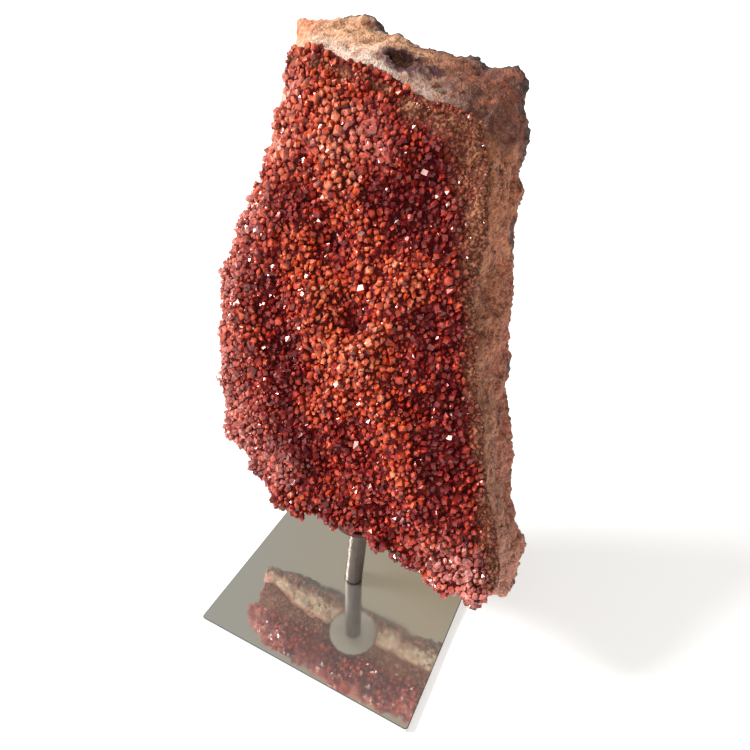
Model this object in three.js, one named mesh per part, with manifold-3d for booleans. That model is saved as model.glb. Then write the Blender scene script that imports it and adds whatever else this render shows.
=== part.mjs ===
// Vanadinite crystals on their matrix, fixed on a small metal display stand.
//
// Millimetres, +Z up, the crystal face looks towards -Y. The origin is the middle of the
// square plate's underside. The rock is modelled in a frame of its own that leans back with
// it: u runs to the right, v runs up along the crystal face, n points out of that face.

import * as THREE from 'three';
import { mergeVertices } from 'three/addons/utils/BufferGeometryUtils.js';
import { ImprovedNoise } from 'three/addons/math/ImprovedNoise.js';
import Module from 'manifold-3d';

// Stand
const plateSide = 100;
const plateThickness = 3;
const plateCornerRadius = 1.2;
const plateEdgeChamfer = 0.3;
const postDiameter = 8;
const postLean = THREE.MathUtils.degToRad(2);
const postSides = 20;
const discDiameter = 25;
const discThickness = 2.5;
const discEdge = 0.4;
const discSides = 24;
const contactGap = 0.3;

// Where the rock sits: its lean, its lower front edge, and the flat seat cut for the disc
const rockLean = THREE.MathUtils.degToRad(24);
const lowerEdgeY = -19;
const lowerEdgeZ = 60.5;
const seatZ = 52;

// Rock body
const slabThickness = 38;
const crustThickness = 3.4;
const crustFootDepth = 15;
const crustFootHeight = 0.13;
const undersideSag = 7;
const backRounding = 4.5;
const topLeftThinning = 4;

// Roughness of the broken rock: a height and a wavelength for each size of bump
const faceSwell = { height: 2, wavelength: 21 };
const brokenFaces = [{ height: 3.5, wavelength: 17 }, { height: 2, wavelength: 8 }];
const ledges = { height: 2, steps: 2.2, wavelength: 26 };
const backKnobs = [{ height: 4.5, wavelength: 19 }, { height: 3, wavelength: 9 }];
const sideWallShare = { across: 14, up: 20 };

// Outlines of the crystal face and of the back, each as four edges in [u, v]
const frontOutline = {
  left: [[-51, 12], [-59, 21], [-60, 29], [-66.5, 38], [-70.5, 55], [-74, 76], [-74, 96],
    [-67.5, 114], [-64.5, 134], [-65, 152], [-64.5, 167]],
  right: [[64, 3], [61, 15], [54, 30], [47, 43], [37.5, 69], [31.5, 86], [27, 102], [24, 119],
    [20.5, 134], [16, 146], [10.5, 155]],
  bottom: [[-51, 12], [-39, 6], [-27, 1], [-17, -1], [0, 1], [14, 2], [28, 0], [42, -4],
    [55, -5.5], [64, 3]],
  top: [[-64.5, 167], [-53, 169], [-39, 166], [-27, 163.5], [-14, 158], [-3, 156.5], [10.5, 155]],
};
const backOutline = {
  left: [[-58, 8], [-62, 24], [-64, 36], [-69, 54], [-75, 78], [-75, 98], [-69, 116],
    [-66, 136], [-71, 158], [-83.5, 195.5]],
  right: [[66, -9], [67, 7], [61, 22], [53, 35], [50, 50], [45, 66], [38, 85], [35, 103],
    [32, 119], [31, 138], [27, 154], [24, 168], [20, 181]],
  bottom: [[-58, 8], [-52, 4.5], [-40, 4], [-20, 5], [0, 5.5], [20, 5], [42, 3], [56, -1], [66, -9]],
  top: [[-83.5, 195.5], [-74, 196.5], [-60, 195], [-43.5, 194], [-28, 194], [-12.5, 192],
    [4, 188], [20, 181]],
};

// Relief of the crystal face: ridges as lines and hollows as spots, [u, v], with heights
const ridgeWidth = 6.5;
const ridges = [
  { line: [[-38, 147], [-29, 130], [-14, 103]], height: 4.5 },
  { line: [[-40, 102], [-29, 86], [-20, 69]], height: 4 },
  { line: [[3, 103], [-6, 72], [-15, 50]], height: 5 },
  { line: [[-6, 71], [5, 57], [15, 46]], height: 5 },
  { line: [[-64, 72], [-42, 48]], height: 3 },
  { line: [[19, 36], [36, 15]], height: 3.5 },
  { line: [[-64, 108], [-38, 114]], height: 3 },
];
const hollows = [
  { at: [6, 137], size: 13, depth: 6 },
  { at: [-28, 111], size: 7, depth: 3.5 },
  { at: [-12, 80], size: 8, depth: 4 },
  { at: [20, 86], size: 10, depth: 4.5 },
  { at: [29, 66], size: 10, depth: 4.5 },
  { at: [-50, 84], size: 8, depth: 3 },
  { at: [-53, 45], size: 8, depth: 3.5 },
  { at: [-38, 62], size: 8, depth: 3 },
  { at: [17, 14], size: 7, depth: 3 },
  { at: [-10, 20], size: 8, depth: 3 },
  { at: [-60, 4], size: 22, depth: 7 },
];
const rimRoll = { width: 7, drop: 3 };

// Crystals: a close field of six-sided points, with larger hexagonal prisms standing out of it
const fieldSpacing = 8.3;
const fieldTip = 3;
const fieldCrevice = 1.2;
const fieldTipWander = 0.42;
const fieldCreviceWander = 0.2;
const fieldFootTop = 24;
const fieldArea = { low: [-80, -24], high: [75, 186] };
const crystalRadius = 4.6;
const crystalHeight = 5;
const crystalRoot = 3;
const hexagonSides = 6;
const standingCrystals = 14;
const rimCrystals = 11;
const footRows = [{ depth: -2, count: 8 }, { depth: -10, count: 7 }];

// Pits broken into the rock, in [u, v, n], and dark lumps around the rim of its back, at the
// fractions across and up the rock and a depth n, all with half sizes
const pits = [
  { at: [-24, 174, -15], size: [9, 4.5, 5.5] },
  { at: [17, 158, -24], size: [4, 8, 5] },
  { at: [48, 62, -24], size: [3.5, 11, 6] },
];
const lumps = [
  { across: 0.28, up: 1, depth: -33, size: [9, 2.5, 5] },
  { across: 0.9, up: 1, depth: -33, size: [10, 4, 5] },
  { across: 1, up: 0.88, depth: -34, size: [3, 8, 5] },
  { across: 1, up: 0.79, depth: -34, size: [3, 6, 5] },
  { across: 1, up: 0.45, depth: -34, size: [2.5, 8, 5] },
  { across: 1, up: 0.08, depth: -31, size: [4, 8, 6] },
];

const lumpInset = 2;
const boulderDent = { depth: 0.35, wavelength: 0.7 };

// How finely the rock's body is divided
const rockCells = { across: 13, up: 21, deep: 4 };

const wasm = await Module();
wasm.setup();
const noise = new ImprovedNoise();
let draws = 1;

// Small tools: random numbers, noise, curves and solids

function random(low, high) {
  draws += 1;
  return low + (high - low) * THREE.MathUtils.seededRandom(draws * 7919);
}

function roughness(point, wavelength) {
  return noise.noise(point.x / wavelength, point.y / wavelength, point.z / wavelength);
}

function bumps(point, sizes) {
  const heights = sizes.map(({ height, wavelength }) => height * roughness(point, wavelength));
  return heights.reduce((sum, height) => sum + height, 0);
}

function edgeCurve(points) {
  const curve = new THREE.CatmullRomCurve3(points.map(([u, v]) => new THREE.Vector3(u, v, 0)));
  return (t) => curve.getPointAt(THREE.MathUtils.clamp(t, 0, 1));
}

function toSolid(geometry) {
  const bare = geometry.clone();
  bare.deleteAttribute('normal');
  bare.deleteAttribute('uv');
  const merged = mergeVertices(bare, 1e-4);
  const index = merged.index.array;
  const faces = [];
  for (let i = 0; i < index.length; i += 3) {
    const [p, q, r] = index.slice(i, i + 3);
    if (p !== q && q !== r && r !== p) {
      faces.push(p, q, r);
    }
  }
  const vertProperties = new Float32Array(merged.attributes.position.array);
  const triVerts = new Uint32Array(faces);
  return new wasm.Manifold(new wasm.Mesh({ numProp: 3, vertProperties, triVerts }));
}

// The largest body of a solid, without the chips that a cut leaves beside it
function toGeometry(solid) {
  const [body] = solid.decompose().sort((p, q) => q.volume() - p.volume());
  const { numProp, vertProperties, triVerts } = body.getMesh();
  const positions = [];
  for (let i = 0; i < vertProperties.length; i += numProp) {
    positions.push(vertProperties[i], vertProperties[i + 1], vertProperties[i + 2]);
  }
  const geometry = new THREE.BufferGeometry();
  geometry.setAttribute('position', new THREE.Float32BufferAttribute(positions, 3));
  geometry.setIndex(Array.from(triVerts));
  const flat = geometry.toNonIndexed();
  flat.computeVertexNormals();
  return flat;
}

// The rock's body: a patch inside four edges, blended from the back outline to the front one

function outlinePatch(outline) {
  const left = edgeCurve(outline.left);
  const right = edgeCurve(outline.right);
  const bottom = edgeCurve(outline.bottom);
  const top = edgeCurve(outline.top);
  return (a, b) => {
    const point = new THREE.Vector3();
    point.addScaledVector(bottom(a), 1 - b).addScaledVector(top(a), b);
    point.addScaledVector(left(b), 1 - a).addScaledVector(right(b), a);
    point.addScaledVector(bottom(0), -(1 - a) * (1 - b));
    point.addScaledVector(bottom(1), -a * (1 - b));
    point.addScaledVector(top(0), -(1 - a) * b);
    point.addScaledVector(top(1), -a * b);
    return point;
  };
}

const frontPatch = outlinePatch(frontOutline);
const backPatch = outlinePatch(backOutline);

function distanceToLine(u, v, line) {
  let nearest = Infinity;
  const point = new THREE.Vector3(u, v, 0);
  const closest = new THREE.Vector3();
  for (let i = 1; i < line.length; i += 1) {
    const start = new THREE.Vector3(...line[i - 1], 0);
    const end = new THREE.Vector3(...line[i], 0);
    new THREE.Line3(start, end).closestPointToPoint(point, true, closest);
    nearest = Math.min(nearest, closest.distanceTo(point));
  }
  return nearest;
}

const frontRim = Object.values(frontOutline);

// Height of the crystal face over its plane
function faceRelief(u, v) {
  let height = bumps(new THREE.Vector3(u, v, slabThickness), [faceSwell]);
  for (const { line, height: rise } of ridges) {
    height += rise * Math.exp(-((distanceToLine(u, v, line) / ridgeWidth) ** 2));
  }
  for (const { at, size, depth } of hollows) {
    height -= depth * Math.exp(-(((u - at[0]) ** 2 + (v - at[1]) ** 2) / size ** 2));
  }
  const toRim = Math.min(...frontRim.map((edge) => distanceToLine(u, v, edge)));
  return height - rimRoll.drop * Math.exp(-((toRim / rimRoll.width) ** 2));
}

// Depth of the boundary between rock and crystals: the crust is thick at its lower edge
function boundaryDepth(a, b) {
  const foot = Math.max(0, 1 - b / crustFootHeight);
  const { x: u, y: v } = frontPatch(a, b);
  return faceRelief(u, v) - crustThickness - crustFootDepth * foot ** 1.5;
}

function backDepth(a, b) {
  const across = Math.abs(2 * a - 1);
  const up = Math.abs(2 * b - 1);
  const rim = Math.max(across, up) ** 6;
  const thinning = topLeftThinning * (1 - a) ** 3 * b ** 4;
  const knobs = bumps(backPatch(a, b), backKnobs);
  return -slabThickness + backRounding * rim + thinning + knobs;
}

// Flat steps with steep risers between them
function terrace(height) {
  return height - 0.14 * Math.sin(2 * Math.PI * height);
}

// A point of the rock at the fractions a across and b up, at the depth n behind the face plane
function rockPoint(a, b, n, swell) {
  const toBack = THREE.MathUtils.clamp(-n / slabThickness, 0, 1);
  const point = frontPatch(a, b).lerp(backPatch(a, b), toBack);
  point.y -= undersideSag * Math.sin(Math.PI * toBack) * (1 - b) ** 8;
  const probe = new THREE.Vector3(point.x, point.y, n);
  const ledge = ledges.height * terrace(ledges.steps * roughness(probe, ledges.wavelength));
  const outward = swell + (bumps(probe, brokenFaces) + ledge) * Math.min(1, toBack * 6);
  const across = 2 * a - 1;
  const up = 2 * b - 1;
  point.x += Math.sign(across) * Math.abs(across) ** sideWallShare.across * outward;
  point.y += Math.sign(up) * Math.abs(up) ** sideWallShare.up * outward;
  point.z = n;
  return point;
}

// A closed block of the rock between two depths, each a function of a and b
function rockBlock(cells, nearDepth, farDepth, swell) {
  const block = new THREE.BoxGeometry(1, 1, 1, cells.across, cells.up, cells.deep);
  const position = block.attributes.position;
  for (let i = 0; i < position.count; i += 1) {
    const a = position.getX(i) + 0.5;
    const b = position.getY(i) + 0.5;
    const c = position.getZ(i) + 0.5;
    const n = THREE.MathUtils.lerp(farDepth(a, b), nearDepth(a, b), c);
    const point = rockPoint(a, b, n, swell);
    position.setXYZ(i, point.x, point.y, point.z);
  }
  return block;
}

// A rough stone of the given half sizes, used both for pits and for lumps
function boulder(at, size) {
  const ball = new THREE.IcosahedronGeometry(1, 1);
  const stone = mergeVertices(ball.deleteAttribute('normal').deleteAttribute('uv'));
  const position = stone.attributes.position;
  const point = new THREE.Vector3();
  for (let i = 0; i < position.count; i += 1) {
    point.fromBufferAttribute(position, i);
    const probe = point.clone().add(new THREE.Vector3(...at));
    point.multiplyScalar(1 + boulderDent.depth * roughness(probe, boulderDent.wavelength));
    position.setXYZ(i, point.x, point.y, point.z);
  }
  stone.scale(...size);
  stone.translate(...at);
  return toSolid(stone);
}

// The rock's frame, with u, v and n as its axes, leaned back about the lower front edge
const rockFrame = new THREE.Matrix4()
  .makeTranslation(0, lowerEdgeY, lowerEdgeZ)
  .multiply(new THREE.Matrix4().makeRotationX(Math.PI / 2 - rockLean));

// The space under the rock that the support disc takes, in the rock's own frame
function seatCutter() {
  const height = seatZ - plateThickness;
  const radius = discDiameter / 2 + contactGap;
  const cutter = new THREE.CylinderGeometry(radius, radius, height, discSides);
  cutter.rotateX(Math.PI / 2);
  cutter.translate(postTop().x, postTop().y, seatZ - height / 2);
  cutter.applyMatrix4(rockFrame.clone().invert());
  return toSolid(cutter);
}

function makeMatrix(seat) {
  let rock = toSolid(rockBlock(rockCells, boundaryDepth, backDepth, 0));
  for (const { across, up, depth, size } of lumps) {
    const { x, y, z } = rockPoint(across, up, depth, -lumpInset);
    rock = rock.add(boulder([x, y, z], size));
  }
  for (const { at, size } of pits) {
    rock = rock.subtract(boulder(at, size));
  }
  return rock.subtract(seat);
}

// The close field: a sheared grid is a triangular lattice, and every third point is a tip
function crystalField() {
  const step = fieldSpacing / Math.sqrt(3);
  const rowHeight = step * Math.sin(Math.PI / 3);
  const { low, high } = fieldArea;
  const rows = Math.ceil((high[1] - low[1]) / rowHeight);
  const columns = Math.ceil((high[0] - low[0]) / step + rows / 2);
  const field = new THREE.BoxGeometry(columns, rows, 1, columns, rows, 1);
  const position = field.attributes.position;
  const seen = new Map();
  for (let k = 0; k < position.count; k += 1) {
    const column = Math.round(position.getX(k) + columns / 2);
    const row = Math.round(position.getY(k) + rows / 2);
    const onTop = position.getZ(k) > 0;
    const key = `${column},${row},${onTop}`;
    if (!seen.has(key)) {
      const isTip = (column + row) % 3 === 0;
      const wander = step * (isTip ? fieldTipWander : fieldCreviceWander);
      const u = low[0] + (column - row / 2) * step + random(-wander, wander);
      const v = low[1] + row * rowHeight + random(-wander, wander);
      const rise = isTip ? random(0.6, 1.25) * fieldTip : -random(0.5, 1.3) * fieldCrevice;
      const depth = v < fieldFootTop ? slabThickness / 2 : crustThickness + crystalRoot / 2;
      const n = faceRelief(u, v) + (onTop ? rise : -depth);
      seen.set(key, [u, v, n]);
    }
    position.setXYZ(k, ...seen.get(key));
  }
  return toSolid(field);
}

// One crystal: a short hexagonal prism with a six-sided point, along the given direction
function crystal(point, direction, scale) {
  const radius = crystalRadius * scale;
  const shoulder = crystalHeight * scale * random(0.1, 0.5);
  const tip = shoulder + crystalHeight * scale * random(0.6, 0.9);
  const profile = [
    new THREE.Vector2(0, -crystalRoot),
    new THREE.Vector2(radius, -crystalRoot),
    new THREE.Vector2(radius, shoulder),
    new THREE.Vector2(0, tip),
  ];
  const prism = new THREE.LatheGeometry(profile, hexagonSides);
  prism.rotateY(random(0, Math.PI / 3));
  const axis = direction.normalize();
  prism.applyQuaternion(
    new THREE.Quaternion().setFromUnitVectors(new THREE.Vector3(0, 1, 0), axis),
  );
  prism.translate(point.x, point.y, point.z);
  return toSolid(prism);
}

function facePoint(a, b) {
  const point = frontPatch(a, b);
  point.z = faceRelief(point.x, point.y);
  return point;
}

function makeCrust(seat) {
  const crystals = [];
  for (let k = 0; k < standingCrystals; k += 1) {
    const b = (k + random(0.2, 0.8)) / standingCrystals;
    const direction = new THREE.Vector3(random(-0.5, 0.5), random(-0.5, 0.5), 1);
    crystals.push(crystal(facePoint(random(0.05, 0.95), b), direction, random(0.7, 1)));
  }
  for (let k = 0; k < rimCrystals; k += 1) {
    const point = facePoint(0.015, (k + random(0.2, 0.8)) / rimCrystals);
    point.z -= 1;
    const direction = new THREE.Vector3(-random(0.5, 1.1), random(-0.4, 0.4), 0.8);
    crystals.push(crystal(point, direction, random(0.6, 0.9)));
  }
  for (const { depth, count } of footRows) {
    for (let k = 0; k < count; k += 1) {
      const a = (k + random(0.2, 0.8)) / count;
      const point = rockPoint(a, 0, depth + random(-1.5, 1.5), 0);
      const direction = new THREE.Vector3(random(-0.4, 0.4), -1, random(-0.2, 0.5));
      crystals.push(crystal(point, direction, random(0.6, 0.95)));
    }
  }
  const outside = toSolid(rockBlock(rockCells, () => 2 * crystalHeight, backDepth, 0));
  const farDepth = (a, b) => boundaryDepth(a, b) + contactGap;
  const rockSpace = toSolid(rockBlock(rockCells, farDepth, backDepth, contactGap));
  const field = crystalField().intersect(outside);
  return wasm.Manifold.union([field, ...crystals]).subtract(rockSpace).subtract(seat);
}

// The stand

function postTop() {
  const height = seatZ - plateThickness;
  return new THREE.Vector3(height * Math.tan(postLean), 0, seatZ);
}

function makePlate() {
  const half = plateSide / 2 - plateEdgeChamfer;
  const corner = plateCornerRadius;
  const outline = new THREE.Shape();
  outline.moveTo(half - corner, -half);
  outline.absarc(half - corner, -half + corner, corner, -Math.PI / 2, 0);
  outline.absarc(half - corner, half - corner, corner, 0, Math.PI / 2);
  outline.absarc(-half + corner, half - corner, corner, Math.PI / 2, Math.PI);
  outline.absarc(-half + corner, -half + corner, corner, Math.PI, 1.5 * Math.PI);
  const plate = new THREE.ExtrudeGeometry(outline, {
    depth: plateThickness - 2 * plateEdgeChamfer,
    curveSegments: 2,
    bevelThickness: plateEdgeChamfer,
    bevelSize: plateEdgeChamfer,
    bevelSegments: 1,
  });
  plate.translate(0, 0, plateEdgeChamfer);
  return plate;
}

function turned(profile, segments) {
  const points = profile.map(([radius, height]) => new THREE.Vector2(radius, height));
  return new THREE.LatheGeometry(points, segments).rotateX(Math.PI / 2);
}

function makePost() {
  const length = (seatZ - discThickness - plateThickness) / Math.cos(postLean) - 3 * contactGap;
  const radius = postDiameter / 2;
  return turned([[0, 0], [radius, 0], [radius, length], [0, length]], postSides);
}

function makeDisc() {
  const radius = discDiameter / 2;
  const top = discThickness - contactGap;
  const profile = [[0, 0], [radius - discEdge, 0], [radius, discEdge], [radius, top], [0, top]];
  return turned(profile, discSides);
}

// Assembly

function subPart(name, geometry, finish) {
  const mesh = new THREE.Mesh(geometry, new THREE.MeshStandardMaterial(finish));
  mesh.name = name;
  return mesh;
}

const plate = subPart('base_plate', makePlate(), {
  color: 0x9b9682, roughness: 0.12, metalness: 1,
});

const post = subPart('post', makePost(), {
  color: 0x6e635c, roughness: 0.3, metalness: 1,
});
post.position.set(0, 0, plateThickness + contactGap);
post.rotation.y = postLean;

const disc = subPart('support_disc', makeDisc(), {
  color: 0xb3a890, roughness: 0.5, metalness: 0.6,
});
disc.position.set(postTop().x, postTop().y, seatZ - discThickness);

const seat = seatCutter();
const matrix = subPart('matrix', toGeometry(makeMatrix(seat)), {
  color: 0xb07c5a, roughness: 0.9, metalness: 0,
});
const crust = subPart('crystal_crust', toGeometry(makeCrust(seat)), {
  color: 0xa3371f, roughness: 0.2, metalness: 0,
});

const rock = new THREE.Group();
rock.applyMatrix4(rockFrame);
rock.add(matrix, crust);

const specimen = new THREE.Group();
specimen.add(plate, post, disc, rock);

export default specimen;
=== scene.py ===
import math
import random

import bmesh
import bpy
import numpy as np
from mathutils import Matrix, Vector, noise
from mathutils.bvhtree import BVHTree


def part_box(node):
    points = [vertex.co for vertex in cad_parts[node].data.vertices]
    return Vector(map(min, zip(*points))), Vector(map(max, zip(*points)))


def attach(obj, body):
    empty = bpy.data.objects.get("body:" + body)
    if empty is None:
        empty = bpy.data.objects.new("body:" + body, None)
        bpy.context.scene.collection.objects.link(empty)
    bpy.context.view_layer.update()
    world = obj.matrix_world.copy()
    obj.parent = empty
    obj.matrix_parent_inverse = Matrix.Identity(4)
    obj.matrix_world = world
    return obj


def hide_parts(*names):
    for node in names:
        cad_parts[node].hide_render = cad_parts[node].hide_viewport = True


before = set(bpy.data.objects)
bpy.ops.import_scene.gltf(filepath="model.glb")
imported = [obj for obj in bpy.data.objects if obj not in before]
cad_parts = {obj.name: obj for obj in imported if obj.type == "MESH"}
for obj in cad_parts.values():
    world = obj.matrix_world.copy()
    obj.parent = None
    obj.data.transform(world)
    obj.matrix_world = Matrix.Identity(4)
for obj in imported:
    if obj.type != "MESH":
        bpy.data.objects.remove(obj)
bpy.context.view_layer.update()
mm = 0.001


# Camera: hand-held close above the specimen's right front corner, looking down on it, with a
# wide lens that makes the top of the rock large and its foot small.
camera_place = Vector((0.070081, -0.150597, 0.246569))
camera_right = Vector((0.894415, 0.443367, 0.058717))
camera_up = Vector((-0.306254, 0.511487, 0.802863))
camera_back = Vector((0.325930, -0.736075, 0.593265))
camera_lens = 27.84
camera_sensor = 36
camera_near = 0.01


def placed(name, data):
    """A new object in the scene."""
    piece = bpy.data.objects.new(name, data)
    bpy.context.scene.collection.objects.link(piece)
    return piece


camera = placed("camera", bpy.data.cameras.new("camera"))
camera.data.sensor_width = camera_sensor
camera.data.lens = camera_lens
camera.data.clip_start = camera_near
camera.matrix_world = Matrix((
    (camera_right.x, camera_up.x, camera_back.x, camera_place.x),
    (camera_right.y, camera_up.y, camera_back.y, camera_place.y),
    (camera_right.z, camera_up.z, camera_back.z, camera_place.z),
    (0, 0, 0, 1),
))
bpy.context.scene.camera = camera


# Base plate: a square of thin steel sheet, ground and mirror polished on its face, with sheared
# and lightly broken edges. The rod stands on its middle. Fingers and dust have dulled it a little.
plate_steel = (0.76, 0.75, 0.70, 1)
plate_shade = (0.72, 0.71, 0.66, 1)
sheared_dark = (0.60, 0.61, 0.60, 1)
sheared_light = (0.90, 0.92, 0.92, 1)
arris_colour = (0.16, 0.17, 0.16, 1)
plate_metallic = 0.9
plate_roughness = (0.025, 0.085)
sheared_roughness = 0.3
scratch_stretch = (9, 900, 200)
scratch_dent = {"strength": 0.02, "depth": 0.2 * mm}
face_slope = (0.5, 0.95)
arris_slope = [(0.30, 0.0), (0.50, 1.0), (0.85, 1.0), (0.97, 0.0)]


def new_finish(name):
    """An empty node material with its Principled shader: (tree, shader, material)."""
    finish = bpy.data.materials.new(name)
    finish.use_nodes = True
    tree = finish.node_tree
    return tree, tree.nodes["Principled BSDF"], finish


def join(tree, target, source):
    """Joins another node's output to a socket, or sets a plain value on it."""
    if isinstance(source, bpy.types.NodeSocket):
        tree.links.new(source, target)
    else:
        target.default_value = source


def add(tree, kind, inputs=None, **settings):
    """A node of that kind, with its settings and its inputs."""
    node = tree.nodes.new(kind)
    for key, value in settings.items():
        setattr(node, key, value)
    for socket, source in (inputs or {}).items():
        join(tree, node.inputs[socket], source)
    return node


def feed(tree, shader, **sources):
    """Gives the shader its inputs."""
    for socket, source in sources.items():
        join(tree, shader.inputs[socket.replace("_", " ")], source)


def maths(tree, work, first, second=0.0):
    """Two values added, subtracted or multiplied."""
    return add(tree, "ShaderNodeMath", {0: first, 1: second}, operation=work).outputs[0]


def spread(tree, value, low, high, start=0.0, end=1.0):
    """A value from start..end stretched to low..high."""
    limits = {"From Min": start, "From Max": end, "To Min": low, "To Max": high}
    return add(tree, "ShaderNodeMapRange", {"Value": value, **limits}).outputs[0]


def rising(tree, value, start, end):
    """0 at start and 1 at end, whichever of the two is the higher."""
    return spread(tree, value, 0.0, 1.0, start, end)


def mixed(tree, mask, first, second):
    """Two colours mixed by a mask."""
    return add(tree, "ShaderNodeMix", {0: mask, 6: first, 7: second}, data_type="RGBA").outputs[2]


def tinted(tree, tone, mask, share, colour):
    """A tone with a colour laid over it, by a share of a mask."""
    return mixed(tree, maths(tree, "MULTIPLY", mask, share), tone, colour)


def ramp(tree, value, stops):
    """A colour for each value, from (position, colour) stops."""
    node = add(tree, "ShaderNodeValToRGB", {0: value})
    points = node.color_ramp.elements
    while len(points) < len(stops):
        points.new(0.5)
    for point, (position, colour) in zip(points, stops):
        point.position = position
        point.color = (*colour, 1)
    return node.outputs[0]


def dented(tree, height, strength, depth):
    """The normals of a surface that a height has dented, to a depth in metres."""
    return add(tree, "ShaderNodeBump", {
        "Height": height, "Strength": strength, "Distance": depth,
    }).outputs[0]


def object_place(tree):
    """Where a point of the surface lies, in metres."""
    return add(tree, "ShaderNodeTexCoord").outputs["Object"]


def stretched(tree, place, scale):
    """A place with each way scaled on its own, for streaks."""
    return add(tree, "ShaderNodeMapping", {"Vector": place, "Scale": scale}).outputs[0]


def upward(tree):
    """How far a surface looks up: 1 on top, 0 on the sides and -1 underneath."""
    normal = add(tree, "ShaderNodeNewGeometry").outputs["Normal"]
    return add(tree, "ShaderNodeSeparateXYZ", {0: normal}).outputs[2]


def new_group(name, inputs, outputs):
    """A shader node group with named sockets: (group, its inputs, its output node)."""
    group = bpy.data.node_groups.new(name, "ShaderNodeTree")
    for label, kind, value in inputs:
        socket = group.interface.new_socket(label, in_out="INPUT", socket_type=kind)
        if value is not None:
            socket.default_value = value
    for label, kind in outputs:
        group.interface.new_socket(label, in_out="OUTPUT", socket_type=kind)
    given = group.nodes.new("NodeGroupInput").outputs
    return group, given, group.nodes.new("NodeGroupOutput")


def use(tree, group, **inputs):
    """A group placed in a material with its own values: its outputs."""
    return add(tree, "ShaderNodeGroup", inputs, node_tree=group).outputs


def put_on(piece, finish):
    """Gives every face of a piece one finish."""
    piece.data.materials.clear()
    piece.data.materials.append(finish)


# Patches: a soft-edged mask of blotches of one size, for smudges, stains, grains and dust.
patches, given, result = new_group(
    "patches",
    [("Place", "NodeSocketVector", None), ("Scale", "NodeSocketFloat", 10.0),
     ("Detail", "NodeSocketFloat", 4.0), ("Cover", "NodeSocketFloat", 0.5),
     ("Softness", "NodeSocketFloat", 0.1)],
    [("Mask", "NodeSocketFloat"), ("Height", "NodeSocketFloat")],
)
blotches = add(patches, "ShaderNodeTexNoise", {
    "Vector": given["Place"], "Scale": given["Scale"], "Detail": given["Detail"],
}).outputs[0]
uncovered = maths(patches, "SUBTRACT", 1.0, given["Cover"])
low_edge = maths(patches, "SUBTRACT", uncovered, given["Softness"])
high_edge = maths(patches, "ADD", uncovered, given["Softness"])
join(patches, result.inputs["Mask"], rising(patches, blotches, low_edge, high_edge))
join(patches, result.inputs["Height"], blotches)

# Edge wear: a mask of the convex edges of a piece, or of its creases where Start is above End.
edge_wear, given, result = new_group(
    "edge_wear",
    [("Start", "NodeSocketFloat", 0.52), ("End", "NodeSocketFloat", 0.6)],
    [("Mask", "NodeSocketFloat")],
)
pointiness = add(edge_wear, "ShaderNodeNewGeometry").outputs["Pointiness"]
join(edge_wear, result.inputs["Mask"], rising(edge_wear, pointiness, given["Start"], given["End"]))

tree, shader, polished_steel = new_finish("polished steel")
place = object_place(tree)
smudge = use(tree, patches, Place=place, Scale=45, Detail=3.0, Cover=0.5, Softness=0.16)
scratches = use(tree, patches, Place=stretched(tree, place, scratch_stretch), Scale=1.0,
                Detail=2.0, Cover=0.4, Softness=0.08)
slope = upward(tree)
face = rising(tree, slope, *face_slope)
arris = ramp(tree, slope, [(position, (share, share, share)) for position, share in arris_slope])
polished = mixed(tree, smudge["Height"], plate_shade, plate_steel)
sheared = mixed(tree, scratches["Mask"], sheared_dark, sheared_light)
tone = mixed(tree, arris, mixed(tree, face, sheared, polished), arris_colour)
dull = spread(tree, smudge["Mask"], *plate_roughness)
rough = add(tree, "ShaderNodeMix", {0: face, 2: sheared_roughness, 3: dull}).outputs[0]
feed(tree, shader, Base_Color=tone, Metallic=plate_metallic, Roughness=rough,
     Normal=dented(tree, scratches["Height"], **scratch_dent))
put_on(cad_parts["base_plate"], polished_steel)


# Rod: a length of drawn round steel bar, turned square at both ends and welded on the middle of
# the plate. It leans two degrees to the right, and carries the pad that the rock is glued on.
rod_steel = (0.20, 0.165, 0.145, 1)
rod_line = (0.28, 0.24, 0.21, 1)
rod_stain = (0.5, (0.13, 0.10, 0.085, 1))
rod_bright = (0.50, 0.46, 0.42, 1)
rod_foot_dark = (0.85, (0.05, 0.04, 0.035, 1))
rod_roughness = (0.36, 0.52)
rod_stretch = (1600, 1600, 40)
rod_dent = {"strength": 0.25, "depth": 0.2 * mm}
rod_chamfer = 0.35 * mm
rod_collar = 2 * mm
rod_sides = 72
weld_height = 0.6 * mm
weld_reach = 0.4 * mm
weld_turns = (0.0, 0.4, 0.8, 1.2, math.pi / 2)
foot_dark_top = 1.6 * mm
foot_dark_full = 0.4 * mm
smooth_angle = math.radians(35)


def turned(name, profile, sides):
    """A closed piece turned about +Z from (radius, height) points."""
    rings = len(profile)
    corners = [
        (radius * math.cos(math.tau * k / sides), radius * math.sin(math.tau * k / sides), height)
        for radius, height in profile for k in range(sides)
    ]
    skin = [
        (r * sides + k, r * sides + (k + 1) % sides, (r + 1) * sides + (k + 1) % sides,
         (r + 1) * sides + k)
        for r in range(rings - 1) for k in range(sides)
    ]
    foot = tuple(reversed(range(sides)))
    head = tuple(range((rings - 1) * sides, rings * sides))
    mesh = bpy.data.meshes.new(name)
    mesh.from_pydata(corners, [], [*skin, foot, head])
    for polygon in mesh.polygons:
        polygon.use_smooth = len(polygon.vertices) == 4
    mesh.set_sharp_from_angle(angle=smooth_angle)
    return placed(name, mesh)


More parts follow.
